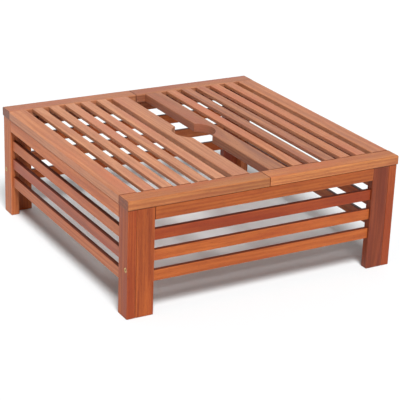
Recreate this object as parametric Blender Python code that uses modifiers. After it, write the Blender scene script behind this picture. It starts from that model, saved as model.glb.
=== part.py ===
"""Umbrella stand: a square slatted hardwood table whose top splits in two around an umbrella pole.

Four knock-down panels make the base. Each is two posts, an apron and three slats, joined with
mortises and tenons, and the panels are bolted together through the posts at the corners. Each half
of the top is a frame of two rails, an edge board and a centre board with thin slats between them.
It rests on the base and lifts straight off. Cleats under it drop inside the base and locate it.

Metres, +Z up, origin on the floor under the middle of the pole hole. +X is to the right, -Y is
the front.
"""
import math

import bmesh
import bpy
from mathutils import Matrix, Vector

# Overall size
SIDE = 0.800                # the top is square
HEIGHT = 0.315
TOP_BOARD = 0.025           # thickness of rails, edge boards and centre boards
BOARD_WIDTH = 0.050
GAP = 0.0003                # clearance between pieces that touch
SEAM = 0.0010               # between the two halves of the top

# Top
SLAT_WIDTH = 0.030
SLAT_THICK = 0.010
SLATS_PER_HALF = 5
SLOT = 0.020                # open slot between two slats
POLE_SLOT = 0.060           # between the two centre boards
POLE_HOLE_R = 0.060
HOLE_SEGMENTS = 64
EDGE_ROUND = 0.0030
SLAT_ROUND = 0.0015

# Base panels
OVERHANG = 0.002            # of the top past the base
PANEL_THICK = 0.024
POST_WIDTH = 0.050
APRON_HEIGHT = 0.035
PANEL_SLAT_HEIGHT = 0.030
PANEL_SLAT_THICK = 0.012
PANEL_SLAT_RECESS = 0.006   # back from the outer face of the posts
PANEL_SLAT_PITCH = 0.055
LOWEST_SLAT_Z = 0.088
PANEL_SLATS = 3
POST_ROUND = 0.0020

# Tenons: share of the section they take, and length
TENON_SHARE = 0.70
TENON_THIN = 0.45
BOARD_TENON = 0.020
SLAT_TENON = 0.012

# Corner bolts and their barrel nuts
BOLT_Z = 0.130
BOLT_R = 0.0030
BOLT_HEAD_R = 0.0070
BOLT_HEAD_THICK = 0.0030
BOLT_SOCKET_R = 0.0024
BOLT_SOCKET_DEPTH = 0.0018
BOLT_LENGTH = 0.056
NUT_R = 0.0050
NUT_LENGTH = 0.0190
HEAD_SET_BACK = 0.0004      # of a bolt's head and a nut's end below the wood
HOLE_PLAY = 0.0004
ROUND_SEGMENTS = 24

# Locating cleats
CLEAT_WIDTH = 0.020
CLEAT_HEIGHT = 0.018
CLEAT_SET_BACK = 0.002      # play between a cleat and the panel that it drops behind
END_CLEAT_X = (0.070, 0.310)
SIDE_CLEAT_HALF = 0.200

# Heights and outlines that follow from the sizes above
HALF = SIDE / 2
UNDERSIDE = HEIGHT - TOP_BOARD
OUTER = HALF - OVERHANG
PANEL_INNER = OUTER - PANEL_THICK
POST_INNER = OUTER - POST_WIDTH
END_POST_INNER = PANEL_INNER - POST_WIDTH
RAIL_INNER = HALF - BOARD_WIDTH
BOLT_Y = OUTER - PANEL_THICK / 2
NUT_X = PANEL_INNER - POST_WIDTH / 2

# Colours of the oiled boards and the metal
PALE = (0.62, 0.33, 0.22)
SALMON = (0.58, 0.27, 0.18)
ORANGE = (0.55, 0.22, 0.09)
RED = (0.42, 0.12, 0.06)
BROWN = (0.33, 0.13, 0.07)
BRASS = (0.72, 0.52, 0.25)
STEEL = (0.62, 0.61, 0.58)
TOP_TONES = (SALMON, PALE, ORANGE, SALMON, PALE)
PANEL_TONES = (ORANGE, ORANGE, RED)

for old in list(bpy.data.objects):
    bpy.data.objects.remove(old)


def new_collection(name):
    collection = bpy.data.collections.new(name)
    bpy.context.scene.collection.children.link(collection)
    return collection


PARTS = new_collection("umbrella_stand")
CUTTERS = new_collection("cutters")


def new_material(name, colour, roughness=0.55, metallic=0.0):
    material = bpy.data.materials.new(name)
    material.use_nodes = True
    shader = material.node_tree.nodes["Principled BSDF"]
    shader.inputs["Base Color"].default_value = (*colour, 1.0)
    shader.inputs["Roughness"].default_value = roughness
    shader.inputs["Metallic"].default_value = metallic
    return material


def new_parent(name, location):
    """An empty that a rigid group of pieces hangs from."""
    empty = bpy.data.objects.new(name, None)
    empty.location = location
    PARTS.objects.link(empty)
    return empty


def place(obj, parent, location):
    """Put a piece at a world location under its group's empty."""
    obj.parent = parent
    obj.location = Vector(location) - parent.location


def add_box(bm, low, high):
    """A box between two corners, added to bm."""
    made = bmesh.ops.create_cube(bm, size=1.0)["verts"]
    size = [high[i] - low[i] for i in range(3)]
    centre = [(high[i] + low[i]) / 2 for i in range(3)]
    bmesh.ops.scale(bm, vec=size, verts=made)
    bmesh.ops.translate(bm, vec=centre, verts=made)


def add_round(bm, centre, axis, radius, length, segments=ROUND_SEGMENTS):
    """A capped cylinder centred on a point, with its axis along X, Y or Z."""
    turn = {"X": Matrix.Rotation(math.pi / 2, 4, "Y"), "Y": Matrix.Rotation(math.pi / 2, 4, "X"),
            "Z": Matrix.Identity(4)}[axis]
    bmesh.ops.create_cone(bm, cap_ends=True, segments=segments, radius1=radius, radius2=radius,
                          depth=length, matrix=Matrix.Translation(centre) @ turn)


def new_cutter(name, fill):
    """A hidden solid in world coordinates, made by fill(bm), that shapes a piece."""
    mesh = bpy.data.meshes.new(name)
    bm = bmesh.new()
    fill(bm)
    bm.to_mesh(mesh)
    bm.free()
    cutter = bpy.data.objects.new(name, mesh)
    cutter.hide_render = True
    cutter.display_type = "WIRE"
    CUTTERS.objects.link(cutter)
    return cutter


def add_boolean(obj, cutter, operation):
    modifier = obj.modifiers.new(cutter.name, "BOOLEAN")
    modifier.operation = operation
    modifier.solver = "EXACT"
    modifier.object = cutter


def board(name, low, high, rounding, colour, parent):
    """A sawn board between two corners, with its four long edges rounded over."""
    size = [high[i] - low[i] for i in range(3)]
    centre = [(high[i] + low[i]) / 2 for i in range(3)]
    along = size.index(max(size))
    bm = bmesh.new()
    bmesh.ops.create_cube(bm, size=1.0)
    bmesh.ops.scale(bm, vec=size, verts=bm.verts)
    long_edges = [e for e in bm.edges if abs((e.verts[1].co - e.verts[0].co)[along]) > size[along] / 2]
    bmesh.ops.bevel(bm, geom=long_edges, offset=rounding, segments=2, profile=0.5, affect="EDGES")
    mesh = bpy.data.meshes.new(name)
    bm.to_mesh(mesh)
    bm.free()
    mesh.materials.append(new_material(name, colour))
    obj = bpy.data.objects.new(name, mesh)
    PARTS.objects.link(obj)
    place(obj, parent, centre)
    return obj


def tenon_box(low, high, along, thick, length):
    """Corners of the bar that runs through a board and stands out of both its ends as tenons.

    along is the board's length axis and thick its thickness axis.
    """
    wide = 3 - along - thick
    low, high = list(low), list(high)
    for axis, share in ((wide, TENON_SHARE), (thick, TENON_THIN)):
        middle = (low[axis] + high[axis]) / 2
        half = (high[axis] - low[axis]) * share / 2
        low[axis] = middle - half
        high[axis] = middle + half
    low[along] -= length
    high[along] += length
    return low, high


def add_tenons(obj, bar):
    add_boolean(obj, new_cutter(obj.name + "_tenons", lambda bm: add_box(bm, *bar)), "UNION")


def add_mortises(obj, bars):
    """Cut the sockets for the tenon bars, each with clearance all round."""
    def fill(bm):
        for low, high in bars:
            add_box(bm, [v - GAP for v in low], [v + GAP for v in high])
    add_boolean(obj, new_cutter(obj.name + "_mortises", fill), "DIFFERENCE")


def mirrored(low, high, side, axis=0):
    """Corners of a box reflected to the side (-1 or 1) of the middle plane across an axis."""
    low, high = list(low), list(high)
    if side < 0:
        low[axis], high[axis] = -high[axis], -low[axis]
    return low, high


def turned(name, profile, segments=ROUND_SEGMENTS):
    """A solid of revolution about Z from a profile of (radius, height) points, top to bottom."""
    mesh = bpy.data.meshes.new(name)
    points = [(radius, 0.0, height) for radius, height in profile]
    mesh.from_pydata(points, [(i, i + 1) for i in range(len(points) - 1)], [])
    obj = bpy.data.objects.new(name, mesh)
    bpy.context.scene.collection.objects.link(obj)
    screw = obj.modifiers.new("turn", "SCREW")
    screw.steps = segments
    screw.render_steps = segments
    screw.use_merge_vertices = True
    screw.merge_threshold = 0.00001
    bpy.context.view_layer.update()
    solid = bpy.data.meshes.new_from_object(obj.evaluated_get(bpy.context.evaluated_depsgraph_get()))
    bpy.data.objects.remove(obj)
    return solid


def metal_piece(name, mesh, colour, roughness, parent, pose):
    """A small turned piece in its own metal, smooth except at its sharp edges."""
    mesh.materials.clear()
    mesh.materials.append(new_material(name, colour, roughness, 1.0))
    mesh.shade_smooth()
    mesh.set_sharp_from_angle(angle=math.radians(35))
    obj = bpy.data.objects.new(name, mesh)
    PARTS.objects.link(obj)
    obj.parent = parent
    obj.matrix_local = Matrix.Translation(-parent.location) @ pose
    return obj


# ---------------------------------------------------------------- base panels

def panel_slat_heights():
    return [LOWEST_SLAT_Z + i * PANEL_SLAT_PITCH for i in range(PANEL_SLATS)]


def panel_cross_pieces(axis, side):
    """Boxes of a panel's apron and slats. axis 0 is a panel across X, at the front or the back."""
    reach = (END_POST_INNER if axis == 0 else POST_INNER) - GAP

    def span(depth_low, depth_high, z_low, z_high):
        low, high = mirrored([depth_low], [depth_high], side)
        if axis == 0:
            return [-reach, low[0], z_low], [reach, high[0], z_high]
        return [low[0], -reach, z_low], [high[0], reach, z_high]

    face = OUTER - PANEL_SLAT_RECESS
    boxes = {"apron": span(PANEL_INNER, OUTER, UNDERSIDE - APRON_HEIGHT, UNDERSIDE - GAP)}
    for number, z in enumerate(reversed(panel_slat_heights()), start=1):
        boxes[f"slat_{number}"] = span(face - PANEL_SLAT_THICK, face, z, z + PANEL_SLAT_HEIGHT)
    return boxes


def bolt_bore(bm, side_x, side_y):
    """Hole for a corner bolt's shank, through the outer post and into the inner one."""
    end = OUTER - BOLT_LENGTH - 2 * HOLE_PLAY
    centre = (side_x * (HALF + end) / 2, side_y * BOLT_Y, BOLT_Z)
    add_round(bm, centre, "X", BOLT_R + HOLE_PLAY, HALF - end)


def head_bore(bm, side_x, side_y):
    """Flat-bottomed recess for the bolt's head in the outer post."""
    depth = BOLT_HEAD_THICK + HEAD_SET_BACK + HOLE_PLAY
    centre = (side_x * OUTER, side_y * BOLT_Y, BOLT_Z)
    add_round(bm, centre, "X", BOLT_HEAD_R + HOLE_PLAY, 2 * depth)


def nut_bore(bm, side_x, side_y):
    """Blind hole for the barrel nut, from the inner face of the inner post."""
    depth = NUT_LENGTH + HEAD_SET_BACK + HOLE_PLAY
    centre = (side_x * NUT_X, side_y * PANEL_INNER, BOLT_Z)
    add_round(bm, centre, "Y", NUT_R + HOLE_PLAY, 2 * depth)


def make_panel(panel, axis, side, base):
    """Two posts, the apron and the slats of one panel."""
    length = 1 - axis
    cross = panel_cross_pieces(axis, side)
    bars = []
    for kind, (low, high) in cross.items():
        rounding = POST_ROUND if kind == "apron" else SLAT_ROUND
        number = 0 if kind == "apron" else int(kind[-1])
        tone = PANEL_TONES[number % len(PANEL_TONES)]
        piece = board(f"{panel}_{kind}", low, high, rounding, tone, base)
        tenon = BOARD_TENON if kind == "apron" else SLAT_TENON
        bar = tenon_box(low, high, axis, length, tenon)
        add_tenons(piece, bar)
        bars.append(bar)
    for end, end_name in ((-1, "low"), (1, "high")):
        make_post(panel, axis, side, end, bars, base)


def make_post(panel, axis, side, end, bars, base):
    """One post. A side panel's post is the outer one at its corner and takes the bolt's head."""
    if axis == 0:
        low, high = mirrored([END_POST_INNER, PANEL_INNER, 0], [PANEL_INNER - GAP, OUTER, 0], end)
        low, high = mirrored(low, high, side, 1)
        name = f"{panel}_post_{'left' if end < 0 else 'right'}"
        corner = (end, side)
    else:
        low, high = mirrored([PANEL_INNER, POST_INNER, 0], [OUTER, OUTER, 0], side)
        low, high = mirrored(low, high, end, 1)
        name = f"{panel}_post_{'front' if end < 0 else 'back'}"
        corner = (side, end)
    high[2] = UNDERSIDE - GAP
    post = board(name, low, high, POST_ROUND, ORANGE if axis == 0 else BROWN, base)

    add_mortises(post, bars)
    for bore in (bolt_bore, nut_bore if axis == 0 else head_bore):
        cutter = new_cutter(f"{name}_{bore.__name__}", lambda bm, bore=bore: bore(bm, *corner))
        add_boolean(post, cutter, "DIFFERENCE")


def bolt_solid():
    """Flat-headed connector bolt along +Z: the head's face is at 0 and the shank runs down."""
    profile = [(0.0, -BOLT_SOCKET_DEPTH), (BOLT_SOCKET_R, -BOLT_SOCKET_DEPTH), (BOLT_SOCKET_R, 0.0),
               (BOLT_HEAD_R - 0.0005, 0.0), (BOLT_HEAD_R, -0.0005), (BOLT_HEAD_R, -BOLT_HEAD_THICK),
               (BOLT_R, -BOLT_HEAD_THICK), (BOLT_R, -BOLT_LENGTH), (0.0, -BOLT_LENGTH)]
    return turned("bolt_solid", profile)


def nut_solid():
    """Barrel nut: a plain cylinder along Y, centred."""
    bm = bmesh.new()
    add_round(bm, (0, 0, 0), "Y", NUT_R, NUT_LENGTH)
    mesh = bpy.data.meshes.new("nut_solid")
    bm.to_mesh(mesh)
    bm.free()
    return mesh


def make_corner_fasteners(base):
    """A bolt through each pair of posts, and the barrel nut that it screws into."""
    for x, x_name in ((-1, "left"), (1, "right")):
        for y, y_name in ((-1, "front"), (1, "back")):
            corner = f"{x_name}_{y_name}"
            head = Matrix.Translation((x * (OUTER - HEAD_SET_BACK), y * BOLT_Y, BOLT_Z))
            outward = Matrix.Rotation(x * math.pi / 2, 4, "Y")
            metal_piece(f"bolt_{corner}", bolt_solid(), BRASS, 0.30, base, head @ outward)
            centre_y = PANEL_INNER + HEAD_SET_BACK + NUT_LENGTH / 2
            middle = Matrix.Translation((x * NUT_X, y * centre_y, BOLT_Z))
            nut = metal_piece(f"barrel_nut_{corner}", nut_solid(), STEEL, 0.35, base, middle)

            def thread(bm, x=x, y=y):
                add_round(bm, (x * NUT_X, y * BOLT_Y, BOLT_Z), "X", BOLT_R + HOLE_PLAY, 4 * NUT_R)
            add_boolean(nut, new_cutter(nut.name + "_thread", thread), "DIFFERENCE")


# ---------------------------------------------------------------- top halves

def top_strips():
    """Name, inner and outer X, and thickness of each board that runs front to back in one half."""
    strips = [("edge_board", HALF - BOARD_WIDTH, HALF, TOP_BOARD)]
    outer = HALF - BOARD_WIDTH - SLOT
    for number in range(1, SLATS_PER_HALF + 1):
        strips.append((f"slat_{number}", outer - SLAT_WIDTH, outer, SLAT_THICK))
        outer -= SLAT_WIDTH + SLOT
    strips.append(("centre_board", POLE_SLOT / 2, outer, TOP_BOARD))
    return strips


def cleat_boxes(side):
    """Boxes of the three cleats under one half."""
    low_z, high_z = UNDERSIDE - CLEAT_HEIGHT, UNDERSIDE - GAP
    outer = PANEL_INNER - CLEAT_SET_BACK
    inner = outer - CLEAT_WIDTH
    x_low, x_high = END_CLEAT_X
    return {"front_cleat": mirrored([x_low, -outer, low_z], [x_high, -inner, high_z], side),
            "back_cleat": mirrored([x_low, inner, low_z], [x_high, outer, high_z], side),
            "side_cleat": mirrored([inner, -SIDE_CLEAT_HALF, low_z], [outer, SIDE_CLEAT_HALF, high_z],
                                   side)}


def make_top_half(half, side):
    """Rails, boards, slats and cleats of one half, under an empty on its lift axis."""
    lift = new_parent(f"{half}_top_lift", (side * HALF / 2, 0.0, UNDERSIDE))
    hole = new_cutter(f"{half}_pole_hole", lambda bm: add_round(
        bm, (0, 0, HEIGHT), "Z", POLE_HOLE_R, 2 * TOP_BOARD + SLOT, HOLE_SEGMENTS))
    reach = RAIL_INNER - GAP
    bars = []
    for number, (kind, inner, outer, thick) in enumerate(top_strips()):
        low, high = mirrored([inner, -reach, HEIGHT - thick], [outer, reach, HEIGHT], side)
        rounding = EDGE_ROUND if thick == TOP_BOARD else SLAT_ROUND
        piece = board(f"{half}_{kind}", low, high, rounding, TOP_TONES[number % len(TOP_TONES)], lift)
        bar = tenon_box(low, high, 1, 2, BOARD_TENON if thick == TOP_BOARD else SLAT_TENON)
        add_tenons(piece, bar)
        bars.append(bar)
        if kind == "centre_board":
            add_boolean(piece, hole, "DIFFERENCE")
    for end, rail in ((-1, "front_rail"), (1, "back_rail")):
        low, high = mirrored([SEAM / 2, RAIL_INNER, UNDERSIDE], [HALF, HALF, HEIGHT], side)
        low, high = mirrored(low, high, end, 1)
        piece = board(f"{half}_{rail}", low, high, EDGE_ROUND, ORANGE if end < 0 else PALE, lift)
        add_mortises(piece, bars)
    for kind, (low, high) in cleat_boxes(side).items():
        board(f"{half}_{kind}", low, high, SLAT_ROUND, BROWN, lift)


base_group = new_parent("base", (0.0, 0.0, 0.0))
make_panel("front_panel", 0, -1, base_group)
make_panel("back_panel", 0, 1, base_group)
make_panel("left_panel", 1, -1, base_group)
make_panel("right_panel", 1, 1, base_group)
make_corner_fasteners(base_group)
make_top_half("left", -1)
make_top_half("right", 1)
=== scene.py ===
"""Umbrella stand: a low square stand of slatted hardwood whose top lifts off in two halves."""
import math
import random

import bmesh
import bpy
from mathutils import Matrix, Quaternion, Vector


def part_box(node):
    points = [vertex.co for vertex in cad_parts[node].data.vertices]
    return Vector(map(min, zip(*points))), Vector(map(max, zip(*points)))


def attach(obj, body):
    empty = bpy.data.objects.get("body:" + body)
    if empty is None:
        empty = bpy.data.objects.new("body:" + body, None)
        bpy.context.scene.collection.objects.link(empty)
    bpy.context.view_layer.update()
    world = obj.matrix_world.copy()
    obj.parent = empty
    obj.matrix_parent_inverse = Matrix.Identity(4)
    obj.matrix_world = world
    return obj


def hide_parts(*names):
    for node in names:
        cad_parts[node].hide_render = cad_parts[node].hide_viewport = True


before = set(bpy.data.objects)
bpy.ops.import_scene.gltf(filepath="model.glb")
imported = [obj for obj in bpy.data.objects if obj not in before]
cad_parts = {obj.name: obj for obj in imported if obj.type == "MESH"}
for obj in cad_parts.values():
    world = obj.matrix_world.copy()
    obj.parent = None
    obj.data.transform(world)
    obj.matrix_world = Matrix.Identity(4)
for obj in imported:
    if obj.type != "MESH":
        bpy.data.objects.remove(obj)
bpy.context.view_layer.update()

# ------------------------------------------------------------------ leg posts
# Each leg is two planed hardwood posts side by side, 50 by 24 mm: the outer one belongs to a side
# panel and takes the bolt's head, the inner one belongs to the front or back panel and takes its
# nut. The long edges are rounded over with a router and sockets are cut for the panel's boards.

FRONT_TO_BACK, ACROSS, UP = 1, 0, 2     # the ways that a board can run
POST_ROUND = 0.0022
ARRIS = 0.0008              # easing of a sawn end
FIT = 0.0003                # clearance of a tenon in its socket
TENON_WIDE = 0.70           # a tenon's share of its board's width and of its thickness
TENON_THICK = 0.45
BOARD_TENON = 0.020
SLAT_TENON = 0.012
BOLT_HOLE_R = 0.0034
BOLT_RECESS_R = 0.0074
BOLT_RECESS_DEPTH = 0.0038
BOLT_HOLE_SPARE = 0.004     # how much longer than its bolt a hole is
NUT_HOLE_R = 0.0054
NUT_HOLE_SPARE = 0.0004
WEAR_AND_SHADE_REACH = 0.0045         # how far from an arris a board is rubbed, and how far painted shade reaches in from it
NEAR = 1e-6                 # two places this close are the same place


def saw(name, low, high):
    """A block sawn to two corners, alone selected."""
    bpy.ops.object.select_all(action="DESELECT")
    bpy.ops.mesh.primitive_cube_add(size=1.0, location=[(a + b) / 2 for a, b in zip(low, high)],
                                    scale=[b - a for a, b in zip(low, high)])
    block = bpy.context.object
    block.name = block.data.name = name
    bpy.ops.object.transform_apply(location=True, rotation=True, scale=True)
    return block


def pick(piece, kind, test):
    """In edit mode, select only the edges or faces that pass a test."""
    bpy.ops.mesh.select_mode(type=kind)
    bpy.ops.mesh.select_all(action="DESELECT")
    bm = bmesh.from_edit_mesh(piece.data)
    for item in (bm.edges if kind == "EDGE" else bm.faces):
        if test(item):
            item.select_set(True)
    bm.select_flush_mode()
    bmesh.update_edit_mesh(piece.data)


def rout(board, low, high, along, rounding, easing=ARRIS):
    """Round over the four long edges of a board, then ease round both its ends."""
    def is_long(edge):
        start, end = (v.co[along] for v in edge.verts)
        return abs(start - end) > (high[along] - low[along]) / 2

    def is_on_end(edge):
        return any(all(abs(v.co[along] - end) < NEAR for v in edge.verts)
                   for end in (low[along], high[along]))

    bpy.ops.object.mode_set(mode="EDIT")
    pick(board, "EDGE", is_long)
    bpy.ops.mesh.bevel(offset=rounding, segments=4, profile=0.5, affect="EDGES")
    pick(board, "EDGE", is_on_end)
    bpy.ops.mesh.bevel(offset=easing, segments=2, profile=0.5, affect="EDGES")
    bpy.ops.object.mode_set(mode="OBJECT")


def cut(piece, cutters):
    """Cut each tool's shape out of a piece in turn, and put the tools away."""
    for cutter in cutters:
        bpy.ops.object.select_all(action="DESELECT")
        piece.select_set(True)
        bpy.context.view_layer.objects.active = piece
        bpy.ops.object.modifier_add(type="BOOLEAN")
        step = piece.modifiers[-1]
        step.operation = "DIFFERENCE"
        step.object = cutter
        bpy.ops.object.modifier_apply(modifier=step.name)
        bpy.data.objects.remove(cutter)


def drill_bit(axis, centre, radius, depth, sides=48):
    """A round bit centred on a point and lying along X, Y or Z."""
    bpy.ops.object.select_all(action="DESELECT")
    turn = {"X": (0, math.pi / 2, 0), "Y": (math.pi / 2, 0, 0), "Z": (0, 0, 0)}[axis]
    bpy.ops.mesh.primitive_cylinder_add(vertices=sides, radius=radius, depth=depth, location=centre,
                                        rotation=turn)
    bpy.ops.object.transform_apply(location=True, rotation=True, scale=True)
    return bpy.context.object


def shoulders(node, along, tenon):
    """Corners of a jointed board between its shoulders. Its CAD box counts the tenons too."""
    low, high = (list(corner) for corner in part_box(node))
    low[along] += tenon
    high[along] -= tenon
    return low, high


def socket_tool(low, high, along, thick, tenon):
    """A bar that cuts the sockets for both tenons of a board, with clearance all round."""
    low, high = list(low), list(high)
    for axis, share in ((3 - along - thick, TENON_WIDE), (thick, TENON_THICK)):
        middle, half = (low[axis] + high[axis]) / 2, (high[axis] - low[axis]) * share / 2
        low[axis], high[axis] = middle - half, middle + half
    low[along] -= tenon
    high[along] += tenon
    return saw("socket_tool", [v - FIT for v in low], [v + FIT for v in high])


def panel_boards(panel, along):
    """Each board of a panel: its node, corners between the shoulders, and tenon length."""
    kinds = [("apron", BOARD_TENON)] + [(f"slat_{n}", SLAT_TENON) for n in (1, 2, 3)]
    return [(f"{panel}_{kind}", *shoulders(f"{panel}_{kind}", along, tenon), tenon)
            for kind, tenon in kinds]


def copy_of(piece, name, flip=(1, 1), shift=(0.0, 0.0, 0.0)):
    """A copy with its own mesh, moved and mirrored about the middle of the stand."""
    bpy.ops.object.select_all(action="DESELECT")
    piece.select_set(True)
    bpy.context.view_layer.objects.active = piece
    bpy.ops.object.duplicate(linked=False)
    twin = bpy.context.object
    twin.name = twin.data.name = name
    twin.location = shift
    twin.scale = (flip[0], flip[1], 1.0)
    bpy.ops.object.transform_apply(location=True, rotation=True, scale=True)
    bpy.ops.object.mode_set(mode="EDIT")
    bpy.ops.mesh.select_all(action="SELECT")
    bpy.ops.mesh.normals_make_consistent(inside=False)
    bpy.ops.object.mode_set(mode="OBJECT")
    return twin


def smooth(piece):
    """Soft rounded edges beside flat faces that stay flat."""
    bpy.ops.object.select_all(action="DESELECT")
    piece.select_set(True)
    bpy.context.view_layer.objects.active = piece
    bpy.ops.object.shade_smooth_by_angle(angle=math.radians(35))
    bpy.ops.object.modifier_add(type="WEIGHTED_NORMAL")
    piece.modifiers[-1].keep_sharp = True
    bpy.ops.object.modifier_apply(modifier=piece.modifiers[-1].name)


log = random.Random(7)      # every board is cut from its own place in a log


def mark_timber(board, low, high, along, tone, painted_top_shade):
    """Write on each point of a board what its timber reads: where the point is in the board, with
    X along the grain, the board's half size, its place in the log, how deep its colour is at
    either end, and how much painted shade darkens its upward faces."""
    wide, thick = [a for a in range(3) if a != along]
    if high[wide] - low[wide] < high[thick] - low[thick]:
        wide, thick = thick, wide
    order = (along, wide, thick)
    middle = [(low[a] + high[a]) / 2 for a in order]
    half = [(high[a] - low[a]) / 2 for a in order]
    place = (log.uniform(0, 30), log.uniform(-0.06, 0.06), log.uniform(0.03, 0.12))
    points = board.data.vertices
    grain, depth = [], []
    for point in points:
        spot = [point.co[a] - m for a, m in zip(order, middle)]
        share = min(1.0, max(0.0, 0.5 + spot[0] / half[0] / 2))
        grain += spot
        depth.append(tone[0] * (1 - share) + tone[1] * share)
    for name, values in (("grain", grain), ("half_size", half * len(points)),
                         ("log_place", place * len(points))):
        board.data.attributes.new(name, "FLOAT_VECTOR", "POINT").data.foreach_set("vector", values)
    for name, values in (("tone", depth), ("painted_top_shade", [painted_top_shade] * len(points))):
        board.data.attributes.new(name, "FLOAT", "POINT").data.foreach_set("value", values)


def tools_for(tree):
    """Two short tools for one node tree: add a node with its settings, and link two sockets."""
    def add(kind, inputs=None, **settings):
        node = tree.nodes.new(kind)
        for key, value in settings.items():
            setattr(node, key, value)
        for key, value in (inputs or {}).items():
            node.inputs[key].default_value = value
        return node

    def link(source, target):
        tree.links.new(source, target)
    return add, link


def new_group(name, inputs, outputs):
    """An empty shader node group with named sockets, each input given as its start value."""
    kinds = {"vector": "NodeSocketVector", "colour": "NodeSocketColor", "number": "NodeSocketFloat"}
    tree = bpy.data.node_groups.new(name, "ShaderNodeTree")
    for label, kind in inputs:
        tree.interface.new_socket(label, in_out="INPUT", socket_type=kinds[kind])
    for label, kind in outputs:
        tree.interface.new_socket(label, in_out="OUTPUT", socket_type=kinds[kind])
    add, link = tools_for(tree)
    return tree, add("NodeGroupInput"), add("NodeGroupOutput"), add, link


def make_grain():
    """Timber right through: rings round the pith, streaks and fibres along X, and short pores."""
    tree, start, end, add, link = new_group(
        "timber_grain",
        [("Place", "vector"), ("Light Wood", "colour"), ("Dark Wood", "colour"),
         ("Flush", "colour"), ("Ring Width", "number")],
        [("Color", "colour"), ("Height", "number")])

    def drawn_out(source, scale, detail, rough=0.5):
        """Noise stretched along the grain."""
        mapping = add("ShaderNodeMapping", {"Scale": scale})
        noise = add("ShaderNodeTexNoise", {"Scale": 1.0, "Detail": detail, "Roughness": rough})
        link(source, mapping.inputs["Vector"])
        link(mapping.outputs["Vector"], noise.inputs["Vector"])
        return noise

    # The grain wanders a little from side to side along the board
    wander = drawn_out(start.outputs["Place"], (1.8, 9.0, 9.0), 2.0)
    centred = add("ShaderNodeVectorMath", {1: (0.5, 0.5, 0.5)}, operation="SUBTRACT")
    pull = add("ShaderNodeVectorMath", {1: (0.0, 0.026, 0.026)}, operation="MULTIPLY")
    bent = add("ShaderNodeVectorMath", operation="ADD")
    link(wander.outputs["Color"], centred.inputs[0])
    link(centred.outputs["Vector"], pull.inputs[0])
    link(start.outputs["Place"], bent.inputs[0])
    link(pull.outputs["Vector"], bent.inputs[1])

    flat = add("ShaderNodeVectorMath", {1: (0.0, 1.0, 1.0)}, operation="MULTIPLY")
    radius = add("ShaderNodeVectorMath", operation="LENGTH")
    count = add("ShaderNodeMath", operation="DIVIDE")
    turn = add("ShaderNodeMath", {1: 2 * math.pi}, operation="MULTIPLY")
    wave = add("ShaderNodeMath", operation="SINE")
    ring = add("ShaderNodeMapRange", {"From Min": -1.0, "From Max": 1.0})
    link(bent.outputs["Vector"], flat.inputs[0])
    link(flat.outputs["Vector"], radius.inputs[0])
    link(radius.outputs["Value"], count.inputs[0])
    link(start.outputs["Ring Width"], count.inputs[1])
    link(count.outputs["Value"], turn.inputs[0])
    link(turn.outputs["Value"], wave.inputs[0])
    link(wave.outputs["Value"], ring.inputs["Value"])

    streak = drawn_out(bent.outputs["Vector"], (2.6, 130.0, 130.0), 4.0, 0.6)
    fibre = drawn_out(bent.outputs["Vector"], (20.0, 620.0, 620.0), 2.0)
    ring_part = add("ShaderNodeMath", {1: 0.15}, operation="MULTIPLY")
    streak_part = add("ShaderNodeMath", {1: 0.55}, operation="MULTIPLY_ADD")
    fibre_part = add("ShaderNodeMath", {1: 0.30}, operation="MULTIPLY_ADD")
    figure = add("ShaderNodeMapRange", {"From Min": 0.34, "From Max": 0.66},
                 interpolation_type="SMOOTHSTEP")
    timber = add("ShaderNodeMix", data_type="RGBA")
    link(ring.outputs["Result"], ring_part.inputs[0])
    link(streak.outputs["Fac"], streak_part.inputs[0])
    link(ring_part.outputs["Value"], streak_part.inputs[2])
    link(fibre.outputs["Fac"], fibre_part.inputs[0])
    link(streak_part.outputs["Value"], fibre_part.inputs[2])
    link(fibre_part.outputs["Value"], figure.inputs["Value"])
    link(figure.outputs["Result"], timber.inputs["Factor"])
    link(start.outputs["Dark Wood"], timber.inputs[6])
    link(start.outputs["Light Wood"], timber.inputs[7])

    # A redder flush drifts along the board
    broad = drawn_out(bent.outputs["Vector"], (2.6, 22.0, 22.0), 1.0)
    flush = add("ShaderNodeMapRange", {"From Min": 0.46, "From Max": 0.70, "To Max": 0.8})
    flushed = add("ShaderNodeMix", data_type="RGBA")
    link(broad.outputs["Fac"], flush.inputs["Value"])
    link(flush.outputs["Result"], flushed.inputs["Factor"])
    link(timber.outputs[2], flushed.inputs[6])
    link(start.outputs["Flush"], flushed.inputs[7])

    # Open pores show as dark dashes a few millimetres long
    dashes = drawn_out(start.outputs["Place"], (95.0, 1500.0, 1500.0), 0.0)
    pores = add("ShaderNodeMapRange", {"From Min": 0.66, "From Max": 0.74})
    shade = add("ShaderNodeMath", {1: 0.5}, operation="MULTIPLY")
    pitted = add("ShaderNodeMix", data_type="RGBA", blend_type="MULTIPLY")
    pitted.inputs[7].default_value = (0.42, 0.30, 0.24, 1.0)
    relief = add("ShaderNodeMath", operation="SUBTRACT")
    link(dashes.outputs["Fac"], pores.inputs["Value"])
    link(pores.outputs["Result"], shade.inputs[0])
    link(shade.outputs["Value"], pitted.inputs["Factor"])
    link(flushed.outputs[2], pitted.inputs[6])
    link(pitted.outputs[2], end.inputs["Color"])
    link(fibre.outputs["Fac"], relief.inputs[0])
    link(pores.outputs["Result"], relief.inputs[1])
    link(relief.outputs["Value"], end.inputs["Height"])
    return tree


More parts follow.
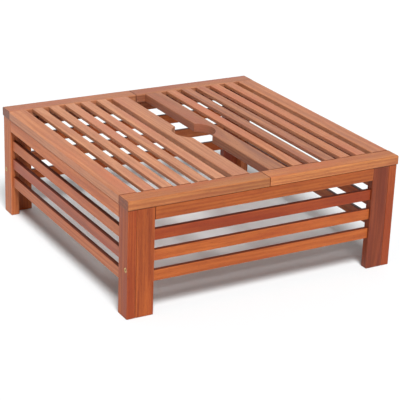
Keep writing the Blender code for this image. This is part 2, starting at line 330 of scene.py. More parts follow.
def make_wear_and_shade():
    """How rubbed a point is and how much painted shade it takes, from how near it is to an arris,
    and whether it is on a sawn end."""
    tree, start, end, add, link = new_group(
        "arris_wear_and_shade", [("Grain", "vector"), ("Half Size", "vector"), ("Reach", "number")],
        [("Worn", "number"), ("Painted Arris Shade", "number"), ("Sawn End", "number")])
    folded = add("ShaderNodeVectorMath", operation="ABSOLUTE")
    inside = add("ShaderNodeVectorMath", operation="SUBTRACT")
    depth = add("ShaderNodeSeparateXYZ")
    link(start.outputs["Grain"], folded.inputs[0])
    link(start.outputs["Half Size"], inside.inputs[0])
    link(folded.outputs["Vector"], inside.inputs[1])
    link(inside.outputs["Vector"], depth.inputs[0])

    # The middle one of the three depths is how far the nearest arris is
    lesser = add("ShaderNodeMath", operation="MINIMUM")
    greater = add("ShaderNodeMath", operation="MAXIMUM")
    capped = add("ShaderNodeMath", operation="MINIMUM")
    middle = add("ShaderNodeMath", operation="MAXIMUM")
    for step in (lesser, greater):
        link(depth.outputs["X"], step.inputs[0])
        link(depth.outputs["Y"], step.inputs[1])
    link(greater.outputs["Value"], capped.inputs[0])
    link(depth.outputs["Z"], capped.inputs[1])
    link(lesser.outputs["Value"], middle.inputs[0])
    link(capped.outputs["Value"], middle.inputs[1])

    rub = add("ShaderNodeTexNoise", {"Scale": 55.0, "Detail": 3.0})
    uneven = add("ShaderNodeMapRange", {"From Min": 0.3, "From Max": 0.7, "To Min": 0.25,
                                        "To Max": 1.2})
    reach = add("ShaderNodeMath", operation="MULTIPLY")
    share = add("ShaderNodeMath", operation="DIVIDE")
    worn = add("ShaderNodeMapRange", {"From Min": 0.25, "From Max": 1.0, "To Min": 1.0,
                                      "To Max": 0.0})
    # Painted shade, darkest right at every arris, standing in for the shade in joints and grooves
    arris_shade = add("ShaderNodeMapRange", {"From Min": 0.05, "From Max": 0.42, "To Min": 1.0,
                                       "To Max": 0.0})
    sawn = add("ShaderNodeMapRange", {"From Min": 0.0, "From Max": 0.0018, "To Min": 1.0,
                                      "To Max": 0.0})
    link(start.outputs["Grain"], rub.inputs["Vector"])
    link(rub.outputs["Fac"], uneven.inputs["Value"])
    link(uneven.outputs["Result"], reach.inputs[0])
    link(start.outputs["Reach"], reach.inputs[1])
    link(middle.outputs["Value"], share.inputs[0])
    link(reach.outputs["Value"], share.inputs[1])
    link(share.outputs["Value"], worn.inputs["Value"])
    link(worn.outputs["Result"], end.inputs["Worn"])
    link(share.outputs["Value"], arris_shade.inputs["Value"])
    link(arris_shade.outputs["Result"], end.inputs["Painted Arris Shade"])
    link(depth.outputs["X"], sawn.inputs["Value"])
    link(sawn.outputs["Result"], end.inputs["Sawn End"])
    return tree


def make_oil():
    """Oil taken up unevenly: patches that took more are deeper and shinier."""
    tree, start, end, add, link = new_group(
        "oil_finish", [("Place", "vector"), ("Dryness", "number")],
        [("Depth", "number"), ("Roughness", "number")])
    mapping = add("ShaderNodeMapping", {"Scale": (6.0, 22.0, 22.0)})
    cloud = add("ShaderNodeTexNoise", {"Scale": 1.0, "Detail": 4.0, "Roughness": 0.6})
    depth = add("ShaderNodeMapRange", {"From Min": 0.35, "From Max": 0.65})
    swing = add("ShaderNodeMapRange", {"From Min": 0.3, "From Max": 0.7, "To Min": 0.07,
                                       "To Max": -0.07})
    rough = add("ShaderNodeMath", operation="ADD")
    link(start.outputs["Place"], mapping.inputs["Vector"])
    link(mapping.outputs["Vector"], cloud.inputs["Vector"])
    link(cloud.outputs["Fac"], depth.inputs["Value"])
    link(cloud.outputs["Fac"], swing.inputs["Value"])
    link(swing.outputs["Result"], rough.inputs[0])
    link(start.outputs["Dryness"], rough.inputs[1])
    link(depth.outputs["Result"], end.inputs["Depth"])
    link(rough.outputs["Value"], end.inputs["Roughness"])
    return tree


GRAIN, WEAR_AND_SHADE, OIL = make_grain(), make_wear_and_shade(), make_oil()


def make_timber(name, light, dark, flush, ring=0.007, dryness=0.46, gloss=0.28):
    """One oiled timber, given the colours of its light and dark wood and of the flush in it."""
    material = bpy.data.materials.new(name)
    material.use_nodes = True
    tree = material.node_tree
    add, link = tools_for(tree)
    shader = tree.nodes["Principled BSDF"]
    shader.inputs["Specular IOR Level"].default_value = gloss

    def read(label):
        return add("ShaderNodeAttribute", attribute_name=label)

    board_place, half_size = read("grain"), read("half_size")
    place = add("ShaderNodeVectorMath", operation="ADD")
    link(board_place.outputs["Vector"], place.inputs[0])
    link(read("log_place").outputs["Vector"], place.inputs[1])
    grain = add("ShaderNodeGroup", node_tree=GRAIN)
    for label, colour in (("Light Wood", light), ("Dark Wood", dark), ("Flush", flush)):
        grain.inputs[label].default_value = (*colour, 1.0)
    grain.inputs["Ring Width"].default_value = ring
    link(place.outputs["Vector"], grain.inputs["Place"])

    oil = add("ShaderNodeGroup", node_tree=OIL)
    oil.inputs["Dryness"].default_value = dryness
    oiled = add("ShaderNodeMix", data_type="RGBA", blend_type="MULTIPLY")
    oiled.inputs[7].default_value = (0.86, 0.80, 0.76, 1.0)
    link(place.outputs["Vector"], oil.inputs["Place"])
    link(oil.outputs["Depth"], oiled.inputs["Factor"])
    link(grain.outputs["Color"], oiled.inputs[6])
    toned = add("ShaderNodeVectorMath", operation="SCALE")
    link(oiled.outputs[2], toned.inputs[0])
    link(read("tone").outputs["Fac"], toned.inputs["Scale"])

    wear_and_shade = add("ShaderNodeGroup", node_tree=WEAR_AND_SHADE)
    wear_and_shade.inputs["Reach"].default_value = WEAR_AND_SHADE_REACH
    rub = add("ShaderNodeMath", {1: 0.25}, operation="MULTIPLY")
    rubbed = add("ShaderNodeMix", data_type="RGBA")
    rubbed.inputs[7].default_value = (*[min(1.0, c * 1.2 + 0.03) for c in light], 1.0)
    # Painted shade darkens the wood near every arris with this colour
    arris_shade_share = add("ShaderNodeMath", {1: 0.75}, operation="MULTIPLY")
    arris_shaded = add("ShaderNodeMix", data_type="RGBA", blend_type="MULTIPLY")
    arris_shaded.inputs[7].default_value = (0.50, 0.38, 0.34, 1.0)
    sawn = add("ShaderNodeMix", data_type="RGBA", blend_type="MULTIPLY")
    sawn.inputs[7].default_value = (0.46, 0.29, 0.16, 1.0)
    link(board_place.outputs["Vector"], wear_and_shade.inputs["Grain"])
    link(half_size.outputs["Vector"], wear_and_shade.inputs["Half Size"])
    link(wear_and_shade.outputs["Worn"], rub.inputs[0])
    link(rub.outputs["Value"], rubbed.inputs["Factor"])
    link(toned.outputs["Vector"], rubbed.inputs[6])
    link(wear_and_shade.outputs["Painted Arris Shade"], arris_shade_share.inputs[0])
    link(arris_shade_share.outputs["Value"], arris_shaded.inputs["Factor"])
    link(rubbed.outputs[2], arris_shaded.inputs[6])
    link(wear_and_shade.outputs["Sawn End"], sawn.inputs["Factor"])
    link(arris_shaded.outputs[2], sawn.inputs[6])

    # Painted shade: faces that look up are darkened on the marked boards, as if shaded by the top
    facing = add("ShaderNodeSeparateXYZ")
    upward = add("ShaderNodeMapRange", {"From Min": 0.5, "From Max": 0.9})
    top_shade_share = add("ShaderNodeMath", operation="MULTIPLY")
    top_shaded = add("ShaderNodeMix", data_type="RGBA", blend_type="MULTIPLY")
    # Colour of the painted shade on the upward faces of the marked boards
    top_shaded.inputs[7].default_value = (0.24, 0.16, 0.15, 1.0)
    link(add("ShaderNodeNewGeometry").outputs["Normal"], facing.inputs[0])
    link(facing.outputs["Z"], upward.inputs["Value"])
    link(upward.outputs["Result"], top_shade_share.inputs[0])
    link(read("painted_top_shade").outputs["Fac"], top_shade_share.inputs[1])
    link(top_shade_share.outputs["Value"], top_shaded.inputs["Factor"])
    link(sawn.outputs[2], top_shaded.inputs[6])
    link(top_shaded.outputs[2], shader.inputs["Base Color"])
    link(oil.outputs["Roughness"], shader.inputs["Roughness"])
    bump = add("ShaderNodeBump", {"Strength": 0.35, "Distance": 0.0004})
    link(grain.outputs["Height"], bump.inputs["Height"])
    link(bump.outputs["Normal"], shader.inputs["Normal"])
    return material


ORANGE = make_timber("orange_timber", (0.522, 0.135, 0.026), (0.378, 0.080, 0.013),
                     (0.432, 0.082, 0.018))
RED_ORANGE = make_timber("red_orange_timber", (0.419, 0.095, 0.017), (0.251, 0.042, 0.008),
                         (0.307, 0.046, 0.009))
DARK_RED = make_timber("dark_red_timber", (0.368, 0.068, 0.012), (0.258, 0.036, 0.007),
                       (0.285, 0.036, 0.007))
PURPLE_BROWN = make_timber("purple_brown_timber", (0.285, 0.058, 0.017), (0.156, 0.028, 0.009),
                           (0.175, 0.027, 0.012))
TAN = make_timber("tan_timber", (0.528, 0.170, 0.059), (0.387, 0.100, 0.031),
                  (0.440, 0.113, 0.043))

# Which timber each post is, and how deep its colour is at its foot and its top
POSTS = {
    "left_panel_post_front": (RED_ORANGE, (1.04, 1.1)),
    "left_panel_post_back": (TAN, (1.0, 1.05)),
    "right_panel_post_front": (RED_ORANGE, (1.0, 1.05)),
    "right_panel_post_back": (TAN, (0.9, 0.85)),
    "front_panel_post_left": (RED_ORANGE, (1.05, 1.0)),
    "front_panel_post_right": (PURPLE_BROWN, (1.0, 1.0)),
    "back_panel_post_left": (ORANGE, (0.8, 0.8)),
    "back_panel_post_right": (PURPLE_BROWN, (1.1, 1.1))}


def finish_board(board, node, body, slot, low, high, along, timber, tone=(1.0, 1.0), painted_top_shade=0.0):
    """Smooth, mark and oil a board, and tie it to its CAD node, its body and its finish."""
    smooth(board)
    mark_timber(board, low, high, along, tone, painted_top_shade)
    board.data.materials.clear()
    board.data.materials.append(timber)
    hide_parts(node)
    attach(board, body)


def bolt_centre(corner):
    """The middle of a corner's bolt, and its length."""
    low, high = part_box(f"bolt_{corner}")
    return (low + high) / 2, high[0] - low[0]


def make_posts():
    """One post of each kind at the left front corner, and its mirrored copies."""
    spot, length = bolt_centre("left_front")
    low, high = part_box("left_panel_post_front")
    outer_post = saw("outer_post", low, high)
    rout(outer_post, low, high, UP, POST_ROUND, 2 * ARRIS)
    cut(outer_post, [socket_tool(*board[1:3], FRONT_TO_BACK, ACROSS, board[3])
                     for board in panel_boards("left_panel", FRONT_TO_BACK)])
    cut(outer_post, [drill_bit("X", spot, BOLT_HOLE_R, length + BOLT_HOLE_SPARE),
                     drill_bit("X", (low[0], spot[1], spot[2]), BOLT_RECESS_R,
                               2 * BOLT_RECESS_DEPTH)])

    low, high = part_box("front_panel_post_left")
    nut_low, nut_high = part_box("barrel_nut_left_front")
    inner_post = saw("inner_post", low, high)
    rout(inner_post, low, high, UP, POST_ROUND, 2 * ARRIS)
    cut(inner_post, [socket_tool(*board[1:3], ACROSS, FRONT_TO_BACK, board[3])
                     for board in panel_boards("front_panel", ACROSS)])
    nut_depth = high[1] - nut_low[1] + NUT_HOLE_SPARE
    cut(inner_post, [drill_bit("X", spot, BOLT_HOLE_R, length + BOLT_HOLE_SPARE),
                     drill_bit("Y", ((nut_low[0] + nut_high[0]) / 2, high[1], spot[2]), NUT_HOLE_R,
                               2 * nut_depth)])

    for x, x_name in ((1, "left"), (-1, "right")):
        for y, y_name in ((1, "front"), (-1, "back")):
            for post, node in ((outer_post, f"{x_name}_panel_post_{y_name}"),
                               (inner_post, f"{y_name}_panel_post_{x_name}")):
                twin = copy_of(post, node + "_wood", flip=(x, y))
                timber, tone = POSTS[node]
                finish_board(twin, node, "base", "post_wood", *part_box(node), UP, timber, tone)
    for post in (outer_post, inner_post):
        bpy.data.objects.remove(post)


make_posts()

# ------------------------------------------------------- aprons and side slats
# Each panel has a 35 mm apron under the top, flush with its posts, and three 30 by 12 mm slats set
# back from them. All are planed hardwood with rounded long edges and a tenon on each end.

APRON_ROUND = 0.0022
SLAT_ROUND = 0.0018
SHOULDER_INSET = 0.0004     # first step in from a board's end face to its tenon
ROSE = make_timber("rose_timber", (0.458, 0.132, 0.062), (0.299, 0.079, 0.040),
                   (0.387, 0.088, 0.048))

PANEL_BOARDS = {
    "front_panel_apron": (ORANGE, (0.86, 0.84)), "front_panel_slat_1": (DARK_RED, (1.0, 1.0)),
    "front_panel_slat_2": (ORANGE, (1.0, 1.0)), "front_panel_slat_3": (ORANGE, (0.98, 1.0)),
    "back_panel_apron": (TAN, (0.9, 0.9)), "back_panel_slat_1": (ORANGE, (0.95, 0.9)),
    "back_panel_slat_2": (TAN, (0.9, 0.95)), "back_panel_slat_3": (ORANGE, (0.9, 0.9)),
    "left_panel_apron": (TAN, (1.24, 1.2)), "left_panel_slat_1": (TAN, (1.1, 1.1)),
    "left_panel_slat_2": (ROSE, (1.0, 1.0)), "left_panel_slat_3": (TAN, (1.05, 1.0)),
    "right_panel_apron": (ORANGE, (0.9, 0.85)), "right_panel_slat_1": (TAN, (0.9, 0.9)),
    "right_panel_slat_2": (RED_ORANGE, (1.1, 1.0)), "right_panel_slat_3": (TAN, (0.85, 0.9))}


def draw_tenons(board, low, high, along, thick, tenon):
    """Shoulder both ends of a board: inset the end face, shrink that to the tenon, draw it out."""
    for way, end in ((-1, low[along]), (1, high[along])):
        bpy.ops.object.mode_set(mode="EDIT")
        pick(board, "FACE", lambda face: face.normal[along] * way > 0.999
             and abs(face.calc_center_median()[along] - end) < NEAR)
        bpy.ops.mesh.inset(thickness=SHOULDER_INSET)
        corners = [v.co for v in bmesh.from_edit_mesh(board.data).verts if v.select]
        size, target = [1.0, 1.0, 1.0], [1.0, 1.0, 1.0]
        for axis, share in ((3 - along - thick, TENON_WIDE), (thick, TENON_THICK)):
            size[axis] = max(c[axis] for c in corners) - min(c[axis] for c in corners)
            target[axis] = (high[axis] - low[axis]) * share
        middle = [(a + b) / 2 for a, b in zip(low, high)]
        middle[along] = end
        bpy.ops.transform.resize(value=[t / s for t, s in zip(target, size)],
                                 center_override=middle)
        draw = [0.0, 0.0, 0.0]
        draw[along] = way * tenon
        bpy.ops.mesh.extrude_region_move(TRANSFORM_OT_translate={"value": draw})
        bpy.ops.object.mode_set(mode="OBJECT")


def make_panel_boards(panel, opposite, along, flip):
    """The boards of one panel, and their mirrored copies in the panel across from it."""
    boards = panel_boards(panel, along)
    thick = 1 - along
    for number, (node, low, high, tenon) in enumerate(boards):
        if number < 2:
            first_low = low
            pattern = saw(f"{panel}_pattern", low, high)
            rout(pattern, low, high, along, APRON_ROUND if number == 0 else SLAT_ROUND)
            draw_tenons(pattern, low, high, along, thick, tenon)
        down = (0.0, 0.0, low[2] - first_low[2])
        for target, turn in ((node, (1, 1)), (node.replace(panel, opposite), flip)):
            twin = copy_of(pattern, target + "_wood", turn, down)
            timber, tone = PANEL_BOARDS[target]
            # Panel slats take painted shade on their upward faces; aprons take none
            slot, painted_top_shade = ("apron_wood", 0.0) if number == 0 else ("panel_slat_wood", 1.0)
            finish_board(twin, target, "base", slot, *shoulders(target, along, tenon), along,
                         timber, tone, painted_top_shade)
        if number in (0, len(boards) - 1):
            bpy.data.objects.remove(pattern)


make_panel_boards("front_panel", "back_panel", ACROSS, (1, -1))
make_panel_boards("left_panel", "right_panel", FRONT_TO_BACK, (-1, 1))

# ------------------------------------------------------ corner bolts and nuts
# Each leg is drawn together by a flat-headed brass-coloured bolt with a hexagon socket, let into
# the outer post. It screws into a zinc-plated barrel nut dropped into the inner post from inside.

SOCKET_R = 0.0031
SOCKET_DEPTH = 0.0020
HEAD_THICK = 0.0030
HEAD_ROUND = 0.0008
SHANK_R = 0.0030
METAL_EASING = 0.0006       # bevel on a turned end
NUT_SLOT_HALF_WIDE = 0.0007
NUT_SLOT_DEPTH = 0.0015


def make_metal(name, colour, dull, rough_low, rough_high):
    """Plated metal: turning marks, cloudy tarnish and a roughness that goes with it."""
    material = bpy.data.materials.new(name)
    material.use_nodes = True
    tree = material.node_tree
    add, link = tools_for(tree)
    shader = tree.nodes["Principled BSDF"]
    shader.inputs["Metallic"].default_value = 1.0
    place = add("ShaderNodeTexCoord")
    cloud = add("ShaderNodeTexNoise", {"Scale": 420.0, "Detail": 4.0, "Roughness": 0.65})
    fine = add("ShaderNodeTexNoise", {"Scale": 2600.0, "Detail": 2.0})
    mask = add("ShaderNodeMapRange", {"From Min": 0.42, "From Max": 0.68})
    tarnished = add("ShaderNodeMix", data_type="RGBA")
    tarnished.inputs[6].default_value = (*colour, 1.0)
    tarnished.inputs[7].default_value = (*dull, 1.0)
    rough = add("ShaderNodeMapRange", {"From Min": 0.3, "From Max": 0.7, "To Min": rough_low,
                                       "To Max": rough_high})
    bump = add("ShaderNodeBump", {"Strength": 0.25, "Distance": 0.0001})
    for noise in (cloud, fine):
        link(place.outputs["Object"], noise.inputs["Vector"])
    link(cloud.outputs["Fac"], mask.inputs["Value"])
    link(mask.outputs["Result"], tarnished.inputs["Factor"])
    link(tarnished.outputs[2], shader.inputs["Base Color"])
    link(cloud.outputs["Fac"], rough.inputs["Value"])
    link(rough.outputs["Result"], shader.inputs["Roughness"])
    link(fine.outputs["Fac"], bump.inputs["Height"])
    link(bump.outputs["Normal"], shader.inputs["Normal"])
    return material


BRASS = make_metal("passivated_brass", (0.68, 0.45, 0.18), (0.34, 0.20, 0.08), 0.18, 0.36)
ZINC = make_metal("bright_zinc", (0.66, 0.66, 0.64), (0.44, 0.45, 0.45), 0.26, 0.48)


def bar(name, axis, centre, radius, length, sides=40):
    """Round stock, lying along X, Y or Z."""
    piece = drill_bit(axis, centre, radius, length, sides)
    piece.name = piece.data.name = name
    return piece


def is_rim(axis, place):
    """A test for the edges that lie wholly in the plane across an axis at a place."""
    return lambda edge: all(abs(v.co[axis] - place) < NEAR for v in edge.verts)


def tie_metal(piece, material, node, body):
    """Smooth and plate a fastener, and tie it to its body and finish, and to a CAD node if any."""
    smooth(piece)
    piece.data.materials.clear()
    piece.data.materials.append(material)
    if node:
        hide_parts(node)
    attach(piece, body)


def make_fasteners():
    """The left front bolt and nut, and their mirrored copies."""
    low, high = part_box("bolt_left_front")
    y, z = (low[1] + high[1]) / 2, (low[2] + high[2]) / 2
    head_r = (high[2] - low[2]) / 2
    under = low[0] + HEAD_THICK
    bolt = bar("bolt", "X", ((low[0] + under) / 2, y, z), head_r, HEAD_THICK)
    bpy.ops.object.mode_set(mode="EDIT")
    pick(bolt, "EDGE", is_rim(0, low[0]))
    bpy.ops.mesh.bevel(offset=HEAD_ROUND, segments=3, profile=0.5, affect="EDGES")
    pick(bolt, "FACE", lambda face: face.normal[0] > 0.999)
    bpy.ops.mesh.inset(thickness=head_r - SHANK_R)
    bpy.ops.mesh.extrude_region_move(TRANSFORM_OT_translate={"value": (high[0] - under, 0, 0)})
    pick(bolt, "EDGE", is_rim(0, high[0]))
    bpy.ops.mesh.bevel(offset=METAL_EASING, segments=2, affect="EDGES")
    bpy.ops.object.mode_set(mode="OBJECT")
    cut(bolt, [drill_bit("X", (low[0], y, z), SOCKET_R, 2 * SOCKET_DEPTH, 6)])

    nut_low, nut_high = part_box("barrel_nut_left_front")
    middle = (nut_low + nut_high) / 2
    nut_r = (nut_high[2] - nut_low[2]) / 2
    nut = bar("barrel_nut", "Y", middle, nut_r, nut_high[1] - nut_low[1])
    bpy.ops.object.mode_set(mode="EDIT")
    pick(nut, "EDGE", lambda edge: is_rim(1, nut_low[1])(edge) or is_rim(1, nut_high[1])(edge))
    bpy.ops.mesh.bevel(offset=METAL_EASING, segments=2, affect="EDGES")
    bpy.ops.object.mode_set(mode="OBJECT")
    half_slot = Vector((NUT_SLOT_HALF_WIDE, NUT_SLOT_DEPTH, 1.2 * nut_r))
    slot_middle = Vector((middle[0], nut_high[1], middle[2]))
    cut(nut, [drill_bit("X", (middle[0], y, z), BOLT_HOLE_R, 4 * nut_r, 32),
              saw("screwdriver_slot", slot_middle - half_slot, slot_middle + half_slot)])

    for x, x_name in ((1, "left"), (-1, "right")):
        for depth, y_name in ((1, "front"), (-1, "back")):
            corner = f"{x_name}_{y_name}"
            tie_metal(copy_of(bolt, f"bolt_{corner}_brass", (x, depth)), BRASS, f"bolt_{corner}",
                      "base")
            tie_metal(copy_of(nut, f"barrel_nut_{corner}_steel", (x, depth)), ZINC,
                      f"barrel_nut_{corner}", "base")
    for pattern in (bolt, nut):
        bpy.data.objects.remove(pattern)


make_fasteners()

# ------------------------------------------------------ locating cleats, screws
# Under each half of the top three hardwood bars are screwed to the rails and the edge board. They
# drop just inside the base and keep the half in place. Countersunk zinc screws hold them.

CLEAT_ROUND = 0.0018
SCREW_HEAD_R = 0.0036
SCREW_SHANK_R = 0.0018
SCREW_SET_BACK = 0.0006
SCREW_RIM = 0.0006          # height of the flat edge round the head
SCREW_NECK = 0.018          # plain shank, then the point
SCREW_POINT = 0.006
SCREW_TIP_R = 0.0002
RECESS_ARM = 0.0019
RECESS_HALF_WIDE = 0.00045
RECESS_DEPTH = 0.0012
PILOT_SPARE = 0.0002        # how much wider than the shank a pilot hole is
PILOT_DEPTH = 0.031
END_CLEAT_SCREWS = (-0.085, 0.085)
SIDE_CLEAT_SCREWS = (-0.150, 0.0, 0.150)
CLEAT_TIMBER = make_timber("cleat_timber", (0.34, 0.110, 0.050), (0.19, 0.052, 0.028),
                           (0.26, 0.066, 0.038), dryness=0.58)


def screw_spots(half):
    """Each screw of one half of the top: the cleat that it holds and its X and Y."""
    spots = []
    for cleat, along, places in (("front_cleat", ACROSS, END_CLEAT_SCREWS),
                                 ("back_cleat", ACROSS, END_CLEAT_SCREWS),
                                 ("side_cleat", FRONT_TO_BACK, SIDE_CLEAT_SCREWS)):
        low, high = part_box(f"{half}_{cleat}")
        middle = (low + high) / 2
        for place in places:
            spot = [middle[0], middle[1]]
            spot[along] += place
            spots.append((cleat, *spot))
    return spots


def pilot_bits(half, cleats):
    """Bits for the pilot holes of the named cleats' screws."""
    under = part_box(f"{half}_front_cleat")[0][2]
    return [drill_bit("Z", (x, y, under), SCREW_SHANK_R + PILOT_SPARE, 2 * PILOT_DEPTH, 24)
            for cleat, x, y in screw_spots(half) if cleat in cleats]


def countersink(x, y, under):
    """A cone whose wide end is at the cleat's underside."""
    bpy.ops.object.select_all(action="DESELECT")
    deep = SCREW_HEAD_R + SCREW_SET_BACK
    bpy.ops.mesh.primitive_cone_add(vertices=32, radius1=2 * deep, radius2=0.0, depth=2 * deep,
                                    location=(x, y, under))
    bpy.ops.object.transform_apply(location=True, rotation=True, scale=True)
    return bpy.context.object


def make_screw():
    """A countersunk screw standing on its head at the origin, with a crossed recess."""
    screw = bar("cleat_screw", "Z", (0, 0, SCREW_RIM / 2), SCREW_HEAD_R, SCREW_RIM, 32)
    bpy.ops.object.mode_set(mode="EDIT")
    for radius, height in ((SCREW_SHANK_R, SCREW_HEAD_R - SCREW_SHANK_R),
                           (SCREW_SHANK_R, SCREW_NECK), (SCREW_TIP_R, SCREW_POINT)):
        pick(screw, "FACE", lambda face: face.normal[2] > 0.999)
        top = max(v.co[2] for v in bmesh.from_edit_mesh(screw.data).verts)
        wide = max(v.co.to_2d().length for v in bmesh.from_edit_mesh(screw.data).verts if v.select)
        bpy.ops.mesh.extrude_region_move(TRANSFORM_OT_translate={"value": (0, 0, height)})
        bpy.ops.transform.resize(value=(radius / wide, radius / wide, 1),
                                 center_override=(0, 0, top + height))
    bpy.ops.object.mode_set(mode="OBJECT")
    for wide, deep in ((RECESS_ARM, RECESS_HALF_WIDE), (RECESS_HALF_WIDE, RECESS_ARM)):
        cut(screw, [saw("recess", (-wide, -deep, -0.001), (wide, deep, RECESS_DEPTH))])
    return screw


def make_cleats(half, body):
    """The three cleats under one half of the top, and their screws."""
    cleats = {"front_cleat": ACROSS, "back_cleat": ACROSS, "side_cleat": FRONT_TO_BACK}
    for cleat, along in cleats.items():
        node = f"{half}_{cleat}"
        low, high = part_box(node)
        piece = saw(node + "_wood", low, high)
        rout(piece, low, high, along, CLEAT_ROUND)
        cut(piece, pilot_bits(half, [cleat]))
        cut(piece, [countersink(x, y, low[2]) for name, x, y in screw_spots(half) if name == cleat])
        finish_board(piece, node, body, "cleat_wood", low, high, along, CLEAT_TIMBER,
                     (log.uniform(0.85, 1.1), log.uniform(0.85, 1.1)))
    for number, (cleat, x, y) in enumerate(screw_spots(half), start=1):
        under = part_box(f"{half}_{cleat}")[0][2]
        twin = copy_of(screw_pattern, f"{half}_cleat_screw_{number}",
                       shift=(x, y, under + SCREW_SET_BACK))
        tie_metal(twin, ZINC, None, body)


screw_pattern = make_screw()
make_cleats("left", "left_top")
make_cleats("right", "right_top")
bpy.data.objects.remove(screw_pattern)

# --------------------------------------------------------------- rails of the top
# The front and back of each half are 50 by 25 mm rails with well rounded edges. The tenons of the
# boards and slats are glued into sockets in their inner edges.

RAIL_ROUND = 0.0032
TOP_STRIPS = [("edge_board", BOARD_TENON)] + [(f"slat_{n}", SLAT_TENON) for n in range(1, 6)]
TOP_STRIPS += [("centre_board", BOARD_TENON)]

GOLDEN = make_timber("golden_timber", (0.553, 0.209, 0.061), (0.359, 0.105, 0.030),
                     (0.427, 0.112, 0.038), ring=0.009, gloss=0.42)
GREY_BROWN = make_timber("grey_brown_timber", (0.441, 0.175, 0.077), (0.284, 0.096, 0.044),
                         (0.367, 0.110, 0.057), gloss=0.5)
RAILS = {"left_front_rail": (GOLDEN, (1.14, 0.82)), "left_back_rail": (GREY_BROWN, (1.2, 1.15)),
         "right_front_rail": (GOLDEN, (1.18, 0.97)), "right_back_rail": (GREY_BROWN, (0.95, 1.05))}


def make_rails():
    """The left front rail, and its mirrored copies."""
    low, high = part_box("left_front_rail")
    rail = saw("rail", low, high)
    rout(rail, low, high, ACROSS, RAIL_ROUND, 1.2 * ARRIS)
    cut(rail, [socket_tool(*shoulders(f"left_{kind}", FRONT_TO_BACK, tenon), FRONT_TO_BACK, UP,
                           tenon) for kind, tenon in TOP_STRIPS])
    cut(rail, pilot_bits("left", ["front_cleat"]))
    for x, half in ((1, "left"), (-1, "right")):
        for y, end in ((1, "front"), (-1, "back")):
            node = f"{half}_{end}_rail"
            twin = copy_of(rail, node + "_wood", (x, y))
            timber, tone = RAILS[node]
            finish_board(twin, node, f"{half}_top", "top_rail_wood", *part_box(node), ACROSS, timber,
                         tone)
    bpy.data.objects.remove(rail)


make_rails()

# ------------------------------------------------------ boards and slats of the top
# Each half has a full-thickness edge board and centre board with five thin slats between them, all
# flush on top. The centre board has half of the round pole hole sawn out of its inner edge.

BOARD_ROUND = 0.0030
TOP_SLAT_ROUND = 0.0018
POLE_HOLE_R = 0.060
POLE_HOLE_ROUND = 0.0015

SALMON = make_timber("salmon_timber", (0.582, 0.231, 0.101), (0.426, 0.139, 0.053),
                     (0.499, 0.149, 0.069), gloss=0.5)
PALE = make_timber("pale_timber", (0.593, 0.267, 0.134), (0.447, 0.165, 0.073),
                   (0.510, 0.182, 0.097), gloss=0.5)
TOP_BOARDS = {
    "left_edge_board": (SALMON, (1.02, 0.98)), "right_edge_board": (SALMON, (0.92, 0.9)),
    "left_slat_1": (PALE, (1.0, 0.98)), "right_slat_1": (SALMON, (1.0, 0.98)),
    "left_slat_2": (PALE, (1.0, 1.0)), "right_slat_2": (SALMON, (0.95, 0.98)),
    "left_slat_3": (PALE, (1.05, 1.05)), "right_slat_3": (GREY_BROWN, (1.05, 1.1)),
    "left_slat_4": (PALE, (0.98, 1.0)), "right_slat_4": (GREY_BROWN, (1.0, 1.1)),
    "left_slat_5": (PALE, (1.04, 1.02)), "right_slat_5": (SALMON, (1.0, 0.98)),
    "left_centre_board": (PALE, (0.93, 0.96)), "right_centre_board": (GREY_BROWN, (0.92, 1.0))}


def saw_pole_hole(board, low, high):
    """Saw the half round out of a centre board and ease its edges."""
    cut(board, [drill_bit("Z", (0, 0, (low[2] + high[2]) / 2), POLE_HOLE_R, 2 * (high[2] - low[2]),
                          128)])

    def is_arc(edge):
        return any(all(abs(v.co.to_2d().length - POLE_HOLE_R) < 1e-4 and abs(v.co[2] - face) < 1e-5
                       for v in edge.verts) for face in (low[2], high[2]))
    bpy.ops.object.mode_set(mode="EDIT")
    pick(board, "EDGE", is_arc)
    bpy.ops.mesh.bevel(offset=POLE_HOLE_ROUND, segments=3, profile=0.5, affect="EDGES")
    bpy.ops.object.mode_set(mode="OBJECT")


def make_top_boards():
    """The left half's boards, and their mirrored copies. The five slats are copies of one."""
    for kind, tenon in TOP_STRIPS:
        low, high = shoulders(f"left_{kind}", FRONT_TO_BACK, tenon)
        if kind in ("edge_board", "slat_1", "centre_board"):
            first_low = low
            pattern = saw("top_pattern", low, high)
            rout(pattern, low, high, FRONT_TO_BACK,
                 TOP_SLAT_ROUND if kind == "slat_1" else BOARD_ROUND)
            draw_tenons(pattern, low, high, FRONT_TO_BACK, UP, tenon)
        if kind == "edge_board":
            cut(pattern, pilot_bits("left", ["side_cleat"]))
        if kind == "centre_board":
            saw_pole_hole(pattern, low, high)
        inward = low[0] - first_low[0]
        slot = "top_board_wood" if tenon == BOARD_TENON else "top_slat_wood"
        for x, half in ((1, "left"), (-1, "right")):
            node = f"{half}_{kind}"
            twin = copy_of(pattern, node + "_wood", (x, 1), (x * inward, 0.0, 0.0))
            timber, tone = TOP_BOARDS[node]
            finish_board(twin, node, f"{half}_top", slot, *shoulders(node, FRONT_TO_BACK, tenon),
                         FRONT_TO_BACK, timber, tone)
        if kind in ("edge_board", "slat_5", "centre_board"):
            bpy.data.objects.remove(pattern)


make_top_boards()

# ---------------------------------------------------------- floor, light, camera
# The stand is on a plain pale studio floor, under one broad soft light from above its left front,
# with pale walls all round. A long lens looks down at its left front leg.

FLOOR_SIZE = 30.0
KEY_FROM = Vector((-0.22, -0.64, 1.0))
KEY_STRENGTH = 3.9
KEY_SPREAD = math.radians(22)
WALLS = 0.95
CEILING = 0.27
FRONT_SHARE = 0.25
CAMERA_AZIMUTH = math.radians(-29.97)
CAMERA_ELEVATION = math.radians(21.67)
CAMERA_ROLL = math.radians(2.09)
CAMERA_DISTANCE = 3.778
CAMERA_TARGET = Vector((-0.0419, -0.1214, 0.160))
CAMERA_LENS = 125.83


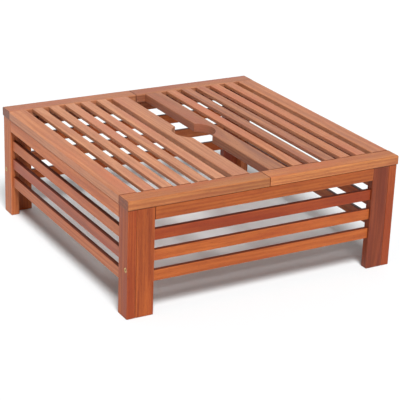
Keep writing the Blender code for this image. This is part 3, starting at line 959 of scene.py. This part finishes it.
def make_floor():
    """A wide matt floor, just under the feet."""
    bpy.ops.object.select_all(action="DESELECT")
    bpy.ops.mesh.primitive_plane_add(size=FLOOR_SIZE, location=(0, 0, -0.0002))
    floor = bpy.context.object
    floor.name = "studio_floor"
    bpy.ops.object.transform_apply(location=True, rotation=True, scale=True)
    material = bpy.data.materials.new("white_studio_floor")
    material.use_nodes = True
    shader = material.node_tree.nodes["Principled BSDF"]
    shader.inputs["Base Color"].default_value = (0.77, 0.80, 0.81, 1.0)
    shader.inputs["Roughness"].default_value = 0.9
    shader.inputs["Specular IOR Level"].default_value = 0.1
    floor.data.materials.append(material)


make_floor()


def make_soft_sun():
    """A broad light from above the front, a little to the left, the same over the whole floor."""
    bpy.ops.object.light_add(type="SUN", location=(0, 0, 3))
    sun = bpy.context.object
    sun.name = "overhead_softbox"
    sun.data.energy = KEY_STRENGTH
    sun.data.angle = KEY_SPREAD
    sun.rotation_euler = (-KEY_FROM).to_track_quat("-Z", "Y").to_euler()


def make_studio():
    """Pale walls all round, dimmer in front of the stand and overhead."""
    world = bpy.data.worlds.new("pale_studio")
    world.use_nodes = True
    tree = world.node_tree
    add, link = tools_for(tree)
    background = tree.nodes["Background"]
    background.inputs["Color"].default_value = (1.0, 1.0, 1.0, 1.0)
    direction = add("ShaderNodeTexCoord")
    parts = add("ShaderNodeSeparateXYZ")
    height = add("ShaderNodeMapRange", {"From Min": 0.30, "From Max": 0.62, "To Min": WALLS,
                                        "To Max": CEILING}, interpolation_type="SMOOTHSTEP")
    depth = add("ShaderNodeMapRange", {"From Min": -0.70, "From Max": 0.10, "To Min": FRONT_SHARE,
                                       "To Max": 1.0}, interpolation_type="SMOOTHSTEP")
    strength = add("ShaderNodeMath", operation="MULTIPLY")
    link(direction.outputs["Generated"], parts.inputs[0])
    link(parts.outputs["Z"], height.inputs["Value"])
    link(parts.outputs["Y"], depth.inputs["Value"])
    link(height.outputs["Result"], strength.inputs[0])
    link(depth.outputs["Result"], strength.inputs[1])
    link(strength.outputs["Value"], background.inputs["Strength"])
    bpy.context.scene.world = world


make_soft_sun()
make_studio()
bpy.context.scene.view_settings.view_transform = "Standard"


def make_camera():
    """A long lens from the left of the front and a little above, rolled slightly."""
    a, e = CAMERA_AZIMUTH, CAMERA_ELEVATION
    back = Vector((math.sin(a) * math.cos(e), -math.cos(a) * math.cos(e), math.sin(e)))
    bpy.ops.object.camera_add(location=CAMERA_TARGET + back * CAMERA_DISTANCE)
    camera = bpy.context.object
    camera.name = "camera"
    camera.data.lens = CAMERA_LENS
    turn = (-back).to_track_quat("-Z", "Y")
    turn.rotate(Quaternion(back, CAMERA_ROLL))
    camera.rotation_euler = turn.to_euler()
    bpy.context.scene.camera = camera


make_camera()
